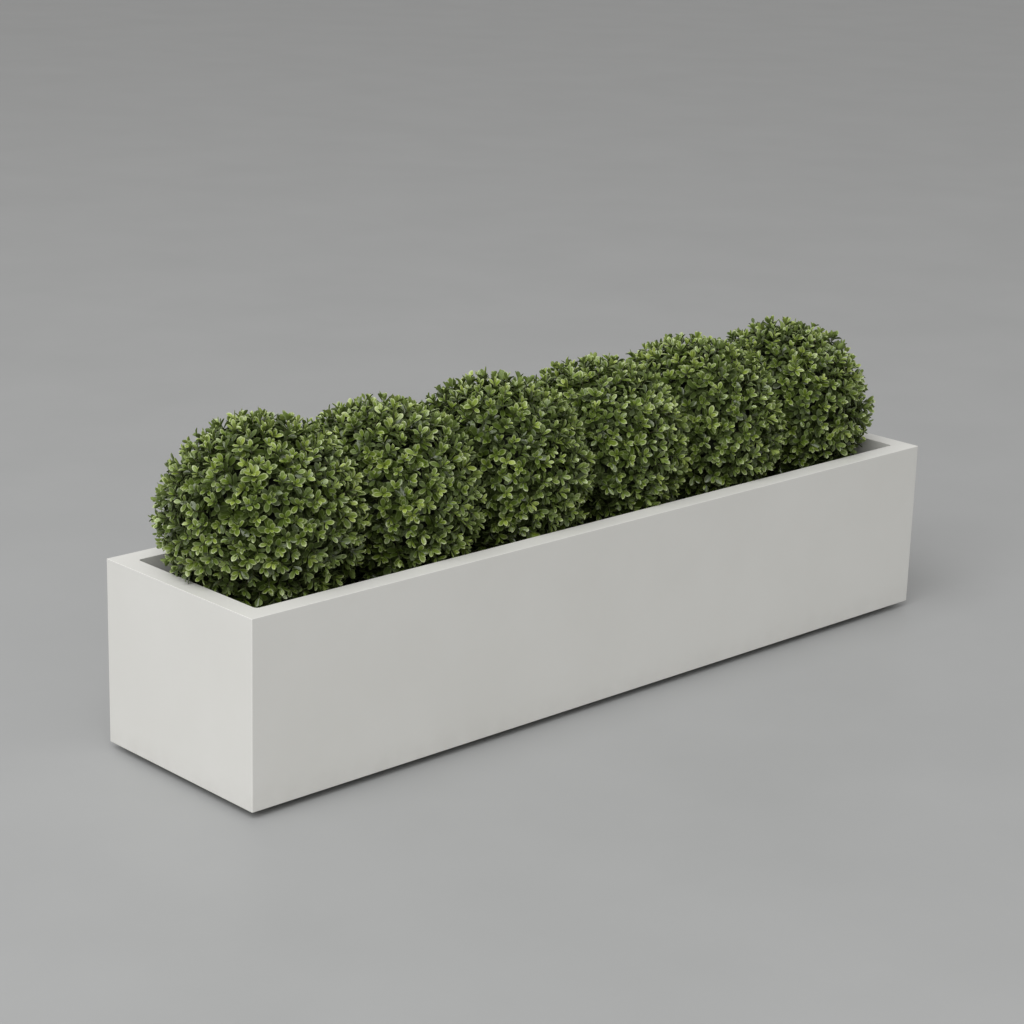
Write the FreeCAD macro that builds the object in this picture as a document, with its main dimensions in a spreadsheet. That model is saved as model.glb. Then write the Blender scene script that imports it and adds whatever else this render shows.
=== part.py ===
import FreeCAD, Part
import Sketcher
import os
import re

# A long moulded planter on screw feet, with a row of soft foliage balls.
# Each ball stands on a spike, and the spikes stand on two boards that lift out.
# Millimetres. X runs along the planter, the front is at -Y, Z is up,
# and the origin is on the floor under the middle of the planter.

SIZES = (
    # the moulded shell
    ("shell_length", 1300),
    ("shell_width", 305),
    ("shell_height", 253),
    ("ground_gap", 9.5),
    ("skin_thickness", 5),
    ("floor_thickness", 6),
    ("rim_width", 29),
    ("rim_thickness", 6),
    ("lip_thickness", 5),
    ("lip_below_rail", 35),
    ("corner_radius", 1.5),
    ("base_radius", 1),
    ("rim_radius", 0.6),
    ("mouth_radius", 6),
    # how deep the planting sits
    ("soil_depth", 62),
    ("dressing_thickness", 14),
    ("board_thickness", 12),
    ("board_end_gap", 3),
    ("board_middle_gap", 2),
    ("board_side_gap", 1.2),
    # screw feet
    ("foot_end_inset", 90),
    ("foot_side_inset", 50),
    ("foot_clearance", 0.3),
    ("pad_radius", 18),
    ("pad_bevel", 1.2),
    ("pad_floor", 2.2),
    ("pad_mouth", 1.4),
    ("stud_radius", 4),
    ("stud_length", 34),
    ("stud_tip", 1),
    ("stud_head_overlap", 2.5),
    ("thread_clearance", 0.3),
    ("insert_wall", 2.7),
    ("insert_length", 22),
    ("boss_wall", 7),
    ("boss_height", 18),
    # drain holes and their plugs
    ("drain_end_inset", 370),
    ("drain_radius", 16),
    ("plug_clearance", 0.4),
    ("plug_overlap", 7),
    ("plug_head", 5),
    ("plug_nose", 1.5),
    ("plug_grip_length", 26),
    ("plug_grip_width", 5),
    ("plug_grip_height", 14),
    ("seal_thickness", 2.5),
    ("seal_inset", 1),
    ("seal_clearance", 0.1),
    # support rails, brace and rivets
    ("rail_leg", 25),
    ("rail_ledge", 20),
    ("rail_thickness", 2),
    ("rail_end_gap", 12),
    ("rivet_radius", 2.1),
    ("rivet_clearance", 0.05),
    ("rivet_head_radius", 4.2),
    ("rivet_head", 1.3),
    ("rivet_tail_radius", 3.2),
    ("rivet_tail", 3),
    ("rivet_end_inset", 50),
    ("rivet_rise", 8),
    ("rivet_count", 6),
    ("brace_width", 44),
    ("brace_thickness", 3),
    ("brace_lip_margin", 5),
    ("brace_rivet_spacing", 24),
    # spikes and their nuts
    ("spike_radius", 6),
    ("spike_length", 64),
    ("spike_tip", 5),
    ("spike_flange_radius", 22),
    ("spike_flange", 4),
    ("spike_clearance", 0.3),
    ("stub_radius", 5),
    ("stub_clearance", 0.2),
    ("stub_end", 3),
    ("nut_radius", 9.5),
    ("nut_height", 8),
    ("nut_flange_radius", 14),
    ("nut_flange", 2),
    ("nut_clearance", 0.05),
    ("dressing_hole_gap", 1),
    # foliage balls and their cores
    ("ball_radius", 138),
    ("ball_end_inset", 116),
    ("ball_sink", 22),
    ("tip_depth", 8),
    ("mass_set_left", 5),
    ("mass_set_back", 6),
    ("mass_rise", 4),
    ("first_mass_rise", 12),
    ("ball_half_gap", 0.5),
    ("ball_seat_gap", 0.5),
    ("rim_clearance", 1.5),
    ("ball_flare", 0.577),
    ("leaf_depth", 44),
    ("core_inset", 7),
    ("core_wall", 3),
    ("core_clearance", 0.3),
    ("tongue_height", 6),
    ("tongue_root", 20),
    ("tongue_wall", 2),
    ("tongue_clearance", 0.4),
    ("hub_wall", 6),
    ("hub_drop", 50),
)

doc = FreeCAD.newDocument("planter")
sheet = doc.addObject("Spreadsheet::Sheet", "sizes")
for row, (alias, value) in enumerate(SIZES, start=1):
    sheet.set("A%d" % row, alias)
    sheet.set("B%d" % row, str(value))
    sheet.setAlias("B%d" % row, alias)
doc.recompute()

ALIASES = {alias for alias, value in SIZES}
PARTS = []


def bound(text):
    """The expression with each size named in it looked up in the sheet."""
    return re.sub(r"[a-z_]+", lambda word: "sizes." + word.group() if word.group() in ALIASES else word.group(), text)


def set_sizes(thing, **expressions):
    """Binds each named property of an object to an expression in the sheet's sizes."""
    for name, text in expressions.items():
        thing.setExpression(name, bound(text))


def place(thing, x="0", y="0", z="0"):
    """Binds an object's position to expressions in the sheet's sizes."""
    thing.setExpression("Placement.Base.x", bound(x))
    thing.setExpression("Placement.Base.y", bound(y))
    thing.setExpression("Placement.Base.z", bound(z))


# Heights above the floor, from the rim downwards.
RIM_TOP = "(ground_gap + shell_height)"
FLOOR_TOP = "(ground_gap + floor_thickness)"
SOIL_TOP = "(ground_gap + shell_height - soil_depth)"
BOARD_TOP = "(ground_gap + shell_height - soil_depth - dressing_thickness)"
BOARD_BASE = "(" + BOARD_TOP + " - board_thickness)"
RAIL_BASE = "(" + BOARD_BASE + " - rail_thickness)"
LIP_BASE = "(" + RAIL_BASE + " - lip_below_rail)"
RIVET_HEIGHT = "(" + RAIL_BASE + " + rail_leg - rivet_rise)"

# Half sizes in plan.
INSIDE_X = "(shell_length / 2 - skin_thickness)"
INSIDE_Y = "(shell_width / 2 - skin_thickness)"
MOUTH_X = "(shell_length / 2 - rim_width)"
MOUTH_Y = "(shell_width / 2 - rim_width)"
LIP_BACK_X = "(shell_length / 2 - rim_width + lip_thickness)"
LIP_BACK_Y = "(shell_width / 2 - rim_width + lip_thickness)"
RAIL_X = "(" + MOUTH_X + " - rail_end_gap)"
RAIL_Y = "(" + MOUTH_Y + " - rail_thickness)"
BOARD_X = "(" + MOUTH_X + " - board_end_gap)"
BOARD_Y = "(" + RAIL_Y + " - rivet_head - board_side_gap)"
FOOT_X = "(shell_length / 2 - foot_end_inset)"
FOOT_Y = "(shell_width / 2 - foot_side_inset)"
DRAIN_X = "(shell_length / 2 - drain_end_inset)"

# The balls: evenly spaced between the two end walls, each set down a little into the top dressing.
BALL_COUNT = 6
PITCH = "((shell_length - 2 * rim_width - 2 * ball_end_inset) / %d)" % (BALL_COUNT - 1)
BALL_Z = "(" + SOIL_TOP + " + ball_radius - ball_sink)"
CORE_RADIUS = "min(ball_radius - leaf_depth; " + PITCH + " / 2 - core_inset)"
HUB_RADIUS = "(spike_radius + spike_clearance + hub_wall)"
HUB_BASE = "(" + BOARD_TOP + " + spike_flange)"


def keep(thing, label):
    """Names a finished sub-part and puts it on the list of files to write."""
    thing.Label = label
    PARTS.append(thing)
    return thing


def new_body(name):
    return doc.addObject("PartDesign::Body", name)


def origin_plane(body, role):
    return [feature for feature in body.Origin.OriginFeatures if feature.Role == role][0]


def new_sketch(body, name, role, x="0", y="0", z="0"):
    """A sketch on one of the body's origin planes, moved by x and y in that plane and by z off it."""
    sketch = body.newObject("Sketcher::SketchObject", name)
    sketch.AttachmentSupport = [(origin_plane(body, role), "")]
    sketch.MapMode = "FlatFace"
    sketch.setExpression("AttachmentOffset.Base.x", bound(x))
    sketch.setExpression("AttachmentOffset.Base.y", bound(y))
    sketch.setExpression("AttachmentOffset.Base.z", bound(z))
    return sketch


def dimension(sketch, kind, geometry, point, text):
    """Dimensions one point from the sketch's origin along X or Y."""
    index = sketch.addConstraint(Sketcher.Constraint(kind, -1, 1, geometry, point, 1.0))
    sketch.setExpression("Constraints[%d]" % index, bound(text))


def add_polygon(sketch, corners):
    """A closed outline whose every corner is dimensioned from the sketch's origin."""
    first = sketch.GeometryCount
    count = len(corners)
    start = [FreeCAD.Vector(10, 0, 0)]
    turn = FreeCAD.Rotation(FreeCAD.Vector(0, 0, 1), 360.0 / count)
    for _ in range(count - 1):
        start.append(turn.multVec(start[-1]))
    for k in range(count):
        sketch.addGeometry(Part.LineSegment(start[k], start[(k + 1) % count]))
    for k in range(count):
        sketch.addConstraint(Sketcher.Constraint("Coincident", first + k, 2, first + (k + 1) % count, 1))
    for k, (x, y) in enumerate(corners):
        dimension(sketch, "DistanceX", first + k, 1, x)
        dimension(sketch, "DistanceY", first + k, 1, y)


def add_rectangle(sketch, x_low, x_high, y_low, y_high):
    add_polygon(sketch, ((x_low, y_low), (x_high, y_low), (x_high, y_high), (x_low, y_high)))


def add_circle(sketch, x, y, radius):
    """A circle whose centre and radius are dimensioned."""
    circle = Part.Circle(FreeCAD.Vector(1, 1, 0), FreeCAD.Vector(0, 0, 1), 5)
    number = sketch.addGeometry(circle)
    dimension(sketch, "DistanceX", number, 3, x)
    dimension(sketch, "DistanceY", number, 3, y)
    index = sketch.addConstraint(Sketcher.Constraint("Radius", number, 5.0))
    sketch.setExpression("Constraints[%d]" % index, bound(radius))


def add_feature(body, kind, name, sketch, length, both_ways=False, flip=False):
    """A pad or a pocket of a sketch, which has to change the body's volume."""
    before = 0 if body.Shape.isNull() else body.Shape.Volume
    feature = body.newObject("PartDesign::" + kind, name)
    feature.Profile = sketch
    if both_ways:
        feature.SideType = "Symmetric"
    feature.Reversed = flip
    set_sizes(feature, Length=length)
    doc.recompute()
    change = body.Shape.Volume - before
    if (change > 0) != (kind == "Pad"):
        raise ValueError("%s changes the volume by %.1f" % (name, change))
    return feature


def pad(body, name, sketch, length, both_ways=False):
    return add_feature(body, "Pad", name, sketch, length, both_ways)


def pocket(body, name, sketch, length, both_ways=False, flip=False):
    return add_feature(body, "Pocket", name, sketch, length, both_ways, flip)


def revolve(body, name, sketch):
    """A full turn of a sketch about its own upright axis."""
    feature = body.newObject("PartDesign::Revolution", name)
    feature.Profile = sketch
    feature.ReferenceAxis = (sketch, ["V_Axis"])
    feature.Angle = 360
    doc.recompute()
    return feature


def repeat(body, name, originals, sketch, length, count, length_across=None):
    """Copies features along the sketch's X and, if a second length is given, as two rows along its Y."""
    pattern = body.newObject("PartDesign::LinearPattern", name)
    pattern.Originals = originals
    pattern.Direction = (sketch, ["H_Axis"])
    set_sizes(pattern, Length=length, Occurrences=count)
    if length_across:
        pattern.Direction2 = (sketch, ["V_Axis"])
        pattern.Occurrences2 = 2
        set_sizes(pattern, Length2=length_across)
    body.Tip = pattern
    doc.recompute()
    return pattern


def edges_where(feature, test):
    """The names of a feature's edges whose bounding box passes the test."""
    return ["Edge%d" % k for k, edge in enumerate(feature.Shape.Edges, start=1) if test(edge.BoundBox)]


def round_edges(body, name, feature, test, radius):
    fillet = body.newObject("PartDesign::Fillet", name)
    fillet.Base = (feature, edges_where(feature, test))
    set_sizes(fillet, Radius=radius)
    doc.recompute()
    return fillet


def primitive(kind, name, x="0", y="0", z="0", **expressions):
    """A Part primitive with its sizes and its place bound to the sheet."""
    solid = doc.addObject("Part::" + kind, name)
    set_sizes(solid, **expressions)
    place(solid, x, y, z)
    return solid


def cut(name, base, tool):
    result = doc.addObject("Part::Cut", name)
    result.Base = base
    result.Tool = tool
    return result


def fuse(name, shapes):
    result = doc.addObject("Part::MultiFuse", name)
    result.Shapes = shapes
    return result


def common(name, base, tool):
    result = doc.addObject("Part::Common", name)
    result.Base = base
    result.Tool = tool
    return result


TINY = 0.01


def flat_at(height):
    """A test for edges that lie in one level plane."""
    return lambda box: abs(box.ZMin - height) < TINY and abs(box.ZMax - height) < TINY


def upright(box):
    return box.XLength < TINY and box.YLength < TINY


def make_shell():
    """One moulding: skin, floor, a wide rim with a returned lip, foot bosses, drain and rivet holes."""
    body = new_body("planter_shell")
    outline = new_sketch(body, "shell_outline", "XY_Plane", z="ground_gap")
    add_rectangle(outline, "-shell_length / 2", "shell_length / 2", "-shell_width / 2", "shell_width / 2")
    block = pad(body, "shell_block", outline, "shell_height")
    base = block.Shape.BoundBox.ZMin
    top = block.Shape.BoundBox.ZMax
    corners = round_edges(body, "shell_corners", block, upright, "corner_radius")
    lower = round_edges(body, "shell_base_edge", corners, flat_at(base), "base_radius")
    round_edges(body, "shell_rim_edge", lower, flat_at(top), "rim_radius")

    mouth = new_sketch(body, "mouth_outline", "XY_Plane", z=RIM_TOP)
    add_rectangle(mouth, "-" + MOUTH_X, MOUTH_X, "-" + MOUTH_Y, MOUTH_Y)
    opening = pocket(body, "mouth_cut", mouth, "shell_height - floor_thickness")
    half_x = mouth.Shape.BoundBox.XMax
    half_y = mouth.Shape.BoundBox.YMax

    def in_mouth(box):
        low = box.XMin > -half_x - TINY and box.YMin > -half_y - TINY
        return low and box.XMax < half_x + TINY and box.YMax < half_y + TINY

    bends = round_edges(body, "mouth_corners", opening, lambda box: upright(box) and in_mouth(box), "mouth_radius")
    round_edges(body, "mouth_edge", bends, lambda box: flat_at(top)(box) and in_mouth(box), "rim_radius")

    # the hollow behind the lip, and the full width of the inside under the lip
    hollow = new_sketch(body, "hollow_outline", "XY_Plane", z=RIM_TOP + " - rim_thickness")
    add_rectangle(hollow, "-" + INSIDE_X, INSIDE_X, "-" + INSIDE_Y, INSIDE_Y)
    add_rectangle(hollow, "-" + LIP_BACK_X, LIP_BACK_X, "-" + LIP_BACK_Y, LIP_BACK_Y)
    pocket(body, "hollow_cut", hollow, "shell_height - rim_thickness - floor_thickness")
    inside = new_sketch(body, "inside_outline", "XY_Plane", z=LIP_BASE)
    add_rectangle(inside, "-" + INSIDE_X, INSIDE_X, "-" + INSIDE_Y, INSIDE_Y)
    pocket(body, "inside_cut", inside, LIP_BASE + " - " + FLOOR_TOP)

    # six bosses with a hole each for the threaded inserts
    insert_radius = "stud_radius + thread_clearance + insert_wall"
    boss = new_sketch(body, "boss_outline", "XY_Plane", "-" + FOOT_X, "-" + FOOT_Y, FLOOR_TOP)
    add_circle(boss, "0", "0", insert_radius + " + boss_wall")
    boss_pad = pad(body, "boss", boss, "boss_height")
    repeat(body, "bosses", [boss_pad], boss, "2 * " + FOOT_X, "3", "2 * " + FOOT_Y)
    hole = new_sketch(body, "insert_hole_outline", "XY_Plane", "-" + FOOT_X, "-" + FOOT_Y, FLOOR_TOP + " + boss_height")
    add_circle(hole, "0", "0", insert_radius)
    hole_cut = pocket(body, "insert_hole", hole, "boss_height + floor_thickness")
    repeat(body, "insert_holes", [hole_cut], hole, "2 * " + FOOT_X, "3", "2 * " + FOOT_Y)

    drain = new_sketch(body, "drain_outline", "XY_Plane", z=FLOOR_TOP)
    add_circle(drain, "-" + DRAIN_X, "0", "drain_radius")
    add_circle(drain, DRAIN_X, "0", "drain_radius")
    pocket(body, "drain_cut", drain, "floor_thickness")

    rivet = new_sketch(body, "lip_rivet_outline", "XZ_Plane", "-" + RAIL_X + " + rivet_end_inset", RIVET_HEIGHT)
    add_circle(rivet, "0", "0", "rivet_radius")
    through_lips = "2 * " + LIP_BACK_Y + " + rivet_tail"
    rivet_cut = pocket(body, "lip_rivet_hole", rivet, through_lips, both_ways=True)
    repeat(body, "lip_rivet_holes", [rivet_cut], rivet, "2 * " + RAIL_X + " - 2 * rivet_end_inset", "rivet_count")
    tie = new_sketch(body, "lip_brace_outline", "XZ_Plane", "0", BRACE_RIVET_HEIGHT)
    add_circle(tie, "-brace_rivet_spacing / 2", "0", "rivet_radius")
    add_circle(tie, "brace_rivet_spacing / 2", "0", "rivet_radius")
    pocket(body, "lip_brace_holes", tie, through_lips, both_ways=True)
    keep(body, "planter_shell")


BRACE_TOP = RAIL_BASE
BRACE_UNDER = "(" + BRACE_TOP + " - brace_thickness)"
TAB_BASE = "(" + LIP_BASE + " + brace_lip_margin)"
BRACE_RIVET_HEIGHT = "((" + BRACE_UNDER + " + " + TAB_BASE + ") / 2)"


def make_inserts():
    """Six threaded bushes moulded into the bosses, open through for the studs."""
    body = new_body("foot_inserts")
    ring = new_sketch(body, "insert_outline", "XY_Plane", "-" + FOOT_X, "-" + FOOT_Y, "ground_gap")
    add_circle(ring, "0", "0", "stud_radius + thread_clearance + insert_wall")
    add_circle(ring, "0", "0", "stud_radius + thread_clearance")
    bush = pad(body, "insert", ring, "insert_length")
    repeat(body, "inserts", [bush], ring, "2 * " + FOOT_X, "3", "2 * " + FOOT_Y)
    keep(body, "foot_inserts")


def make_rail(side, sign):
    """An angle along one long side: its leg lies on the lip and its ledge carries the boards."""
    label = "rail_" + side
    body = new_body(label)
    leg = new_sketch(body, label + "_leg_outline", "XY_Plane", z=RAIL_BASE)
    add_rectangle(leg, "-" + RAIL_X, RAIL_X, sign + MOUTH_Y, sign + RAIL_Y)
    pad(body, label + "_leg", leg, "rail_leg")
    ledge = new_sketch(body, label + "_ledge_outline", "XY_Plane", z=RAIL_BASE)
    add_rectangle(ledge, "-" + RAIL_X, RAIL_X, sign + MOUTH_Y, sign + "(" + MOUTH_Y + " - rail_ledge)")
    pad(body, label + "_ledge", ledge, "rail_thickness")
    hole = new_sketch(body, label + "_hole_outline", "XZ_Plane", "-" + RAIL_X + " + rivet_end_inset", RIVET_HEIGHT)
    add_circle(hole, "0", "0", "rivet_radius")
    hole_cut = pocket(body, label + "_hole", hole, "2 * " + LIP_BACK_Y, both_ways=True)
    repeat(body, label + "_holes", [hole_cut], hole, "2 * " + RAIL_X + " - 2 * rivet_end_inset", "rivet_count")
    keep(body, label)


def rivet_profile(sketch, sign, inner_face, grip):
    """Half of a set rivet: a low head on the inner face, a shank through the grip and a bulb behind the lip."""
    outer_face = "(" + inner_face + " + " + grip + ")"
    shank = "rivet_radius - rivet_clearance"
    add_polygon(sketch, (
        ("0", sign + "(" + inner_face + " - rivet_head)"),
        ("rivet_head_radius - rivet_head / 2", sign + "(" + inner_face + " - rivet_head)"),
        ("rivet_head_radius", sign + "(" + inner_face + " - rivet_head / 2)"),
        ("rivet_head_radius", sign + inner_face),
        (shank, sign + inner_face),
        (shank, sign + outer_face),
        ("rivet_tail_radius", sign + outer_face),
        ("rivet_tail_radius", sign + "(" + outer_face + " + rivet_tail)"),
        ("0", sign + "(" + outer_face + " + rivet_tail)"),
    ))


def make_rivets(label, first_x, height, inner_face, grip, length, count):
    """A row of rivets along the front and another along the back."""
    body = new_body(label)
    turned = []
    for side, sign in (("front", "-"), ("back", "")):
        profile = new_sketch(body, label + "_" + side + "_outline", "XY_Plane", first_x, z=height)
        rivet_profile(profile, sign, inner_face, grip)
        turned.append(revolve(body, label + "_" + side, profile))
    repeat(body, label + "_row", turned, profile, length, count)
    keep(body, label)


def make_brace():
    """A strap under the rails with a turned-down tab at each end, riveted to both lips."""
    body = new_body("cross_brace")
    strap = new_sketch(body, "strap_outline", "YZ_Plane")
    inner = "(" + MOUTH_Y + " - brace_thickness)"
    add_polygon(strap, (
        ("-" + MOUTH_Y, TAB_BASE),
        ("-" + inner, TAB_BASE),
        ("-" + inner, BRACE_UNDER),
        (inner, BRACE_UNDER),
        (inner, TAB_BASE),
        (MOUTH_Y, TAB_BASE),
        (MOUTH_Y, BRACE_TOP),
        ("-" + MOUTH_Y, BRACE_TOP),
    ))
    pad(body, "strap", strap, "brace_width", both_ways=True)
    hole = new_sketch(body, "tab_hole_outline", "XZ_Plane", "0", BRACE_RIVET_HEIGHT)
    add_circle(hole, "-brace_rivet_spacing / 2", "0", "rivet_radius")
    add_circle(hole, "brace_rivet_spacing / 2", "0", "rivet_radius")
    pocket(body, "tab_holes", hole, "2 * " + LIP_BACK_Y, both_ways=True)
    keep(body, "cross_brace")


PAD_TOP = "(ground_gap - foot_clearance)"
HEAD_BASE = "(pad_floor + foot_clearance)"
HEAD_TOP = "(" + PAD_TOP + " - pad_mouth - foot_clearance)"


def make_foot(number, x, y):
    """A pad on the floor, and the stud whose head is held in it and that screws into the shell."""
    pad_label = "foot_pad_%d" % number
    body = new_body(pad_label)
    profile = new_sketch(body, pad_label + "_outline", "XZ_Plane")
    socket = "stud_radius + stud_head_overlap + foot_clearance"
    mouth = "stud_radius + foot_clearance"
    add_polygon(profile, (
        ("0", "0"),
        ("pad_radius - pad_bevel", "0"),
        ("pad_radius", "pad_bevel"),
        ("pad_radius", PAD_TOP + " - pad_bevel"),
        ("pad_radius - pad_bevel", PAD_TOP),
        (mouth, PAD_TOP),
        (mouth, PAD_TOP + " - pad_mouth"),
        (socket, PAD_TOP + " - pad_mouth"),
        (socket, "pad_floor"),
        ("0", "pad_floor"),
    ))
    revolve(body, pad_label + "_turned", profile)
    place(body, x, y)
    keep(body, pad_label)

    stud_label = "foot_stud_%d" % number
    body = new_body(stud_label)
    profile = new_sketch(body, stud_label + "_outline", "XZ_Plane")
    add_polygon(profile, (
        ("0", HEAD_BASE),
        ("stud_radius + stud_head_overlap", HEAD_BASE),
        ("stud_radius + stud_head_overlap", HEAD_TOP),
        ("stud_radius", HEAD_TOP),
        ("stud_radius", PAD_TOP + " + stud_length - stud_tip"),
        ("stud_radius - stud_tip", PAD_TOP + " + stud_length"),
        ("0", PAD_TOP + " + stud_length"),
    ))
    revolve(body, stud_label + "_turned", profile)
    place(body, x, y)
    keep(body, stud_label)


def make_plug(side, x):
    """A drain plug with a grip on top, and the flat seal under its head."""
    label = "drain_plug_" + side
    shank = "(drain_radius - plug_clearance)"
    head = "(drain_radius + plug_overlap)"
    head_base = FLOOR_TOP + " + seal_thickness"
    body = new_body(label)
    profile = new_sketch(body, label + "_outline", "XZ_Plane")
    add_polygon(profile, (
        ("0", "ground_gap - plug_nose"),
        (shank + " - plug_nose", "ground_gap - plug_nose"),
        (shank, "ground_gap"),
        (shank, head_base),
        (head, head_base),
        (head, head_base + " + plug_head - plug_nose"),
        (head + " - plug_nose", head_base + " + plug_head"),
        ("0", head_base + " + plug_head"),
    ))
    revolve(body, label + "_turned", profile)
    grip = new_sketch(body, label + "_grip_outline", "XY_Plane", z=head_base + " + plug_head")
    half_long = "plug_grip_length / 2"
    half_wide = "plug_grip_width / 2"
    add_rectangle(grip, "-" + half_long, half_long, "-" + half_wide, half_wide)
    pad(body, label + "_grip", grip, "plug_grip_height")
    place(body, x)
    keep(body, label)

    label = "plug_seal_" + side
    body = new_body(label)
    ring = new_sketch(body, label + "_outline", "XY_Plane", z=FLOOR_TOP)
    add_circle(ring, "0", "0", head + " - seal_inset")
    add_circle(ring, "0", "0", shank + " + seal_clearance")
    pad(body, label + "_ring", ring, "seal_thickness")
    place(body, x)
    keep(body, label)


def add_row_holes(body, name, sketch, first_x, radius, depth):
    """Three holes, one at each ball of a board."""
    for k in range(3):
        add_circle(sketch, "%s + %d * %s" % (first_x, k, PITCH), "0", radius)
    pocket(body, name, sketch, depth)


def make_tray(side, x_low, x_high, first_x):
    """A board that lies on the rails, its top dressing, and its three spikes with their nuts."""
    label = "board_" + side
    body = new_body(label)
    sheet_outline = new_sketch(body, label + "_outline", "XY_Plane", z=BOARD_BASE)
    add_rectangle(sheet_outline, x_low, x_high, "-" + BOARD_Y, BOARD_Y)
    pad(body, label + "_sheet", sheet_outline, "board_thickness")
    holes = new_sketch(body, label + "_hole_outline", "XY_Plane", z=BOARD_TOP)
    add_row_holes(body, label + "_holes", holes, first_x, "stub_radius + stub_clearance", "board_thickness")
    keep(body, label)

    label = "dressing_" + side
    body = new_body(label)
    layer = new_sketch(body, label + "_outline", "XY_Plane", z=BOARD_TOP)
    add_rectangle(layer, x_low, x_high, "-" + BOARD_Y, BOARD_Y)
    pad(body, label + "_layer", layer, "dressing_thickness")
    holes = new_sketch(body, label + "_hole_outline", "XY_Plane", z=SOIL_TOP)
    add_row_holes(body, label + "_holes", holes, first_x, "spike_flange_radius + dressing_hole_gap", "dressing_thickness")
    keep(body, label)

    label = "spikes_" + side
    body = new_body(label)
    profile = new_sketch(body, label + "_outline", "XZ_Plane", first_x)
    stub_base = BOARD_BASE + " - nut_flange - nut_height - stub_end"
    spike_top = HUB_BASE + " + spike_length"
    add_polygon(profile, (
        ("0", stub_base),
        ("stub_radius", stub_base),
        ("stub_radius", BOARD_TOP),
        ("spike_flange_radius", BOARD_TOP),
        ("spike_flange_radius", HUB_BASE),
        ("spike_radius", HUB_BASE),
        ("spike_radius", spike_top + " - spike_tip"),
        ("spike_radius / 3", spike_top),
        ("0", spike_top),
    ))
    turned = revolve(body, label + "_turned", profile)
    repeat(body, label + "_row", [turned], profile, "2 * " + PITCH, "3")
    keep(body, label)

    label = "spike_nuts_" + side
    body = new_body(label)
    flange = new_sketch(body, label + "_flange_outline", "XY_Plane", first_x, "0", BOARD_BASE + " - nut_flange")
    add_circle(flange, "0", "0", "nut_flange_radius")
    add_circle(flange, "0", "0", "stub_radius + nut_clearance")
    flange_pad = pad(body, label + "_flange", flange, "nut_flange")
    under = BOARD_BASE + " - nut_flange - nut_height"
    hexagon = new_sketch(body, label + "_hexagon_outline", "XY_Plane", first_x, "0", under)
    slant = "nut_radius * 0.8660254"
    add_polygon(hexagon, (
        ("nut_radius", "0"),
        ("nut_radius / 2", slant),
        ("-nut_radius / 2", slant),
        ("-nut_radius", "0"),
        ("-nut_radius / 2", "-" + slant),
        ("nut_radius / 2", "-" + slant),
    ))
    add_circle(hexagon, "0", "0", "stub_radius + nut_clearance")
    hexagon_pad = pad(body, label + "_hexagon", hexagon, "nut_height")
    repeat(body, label + "_row", [flange_pad, hexagon_pad], flange, "2 * " + PITCH, "3")
    keep(body, label)


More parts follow.
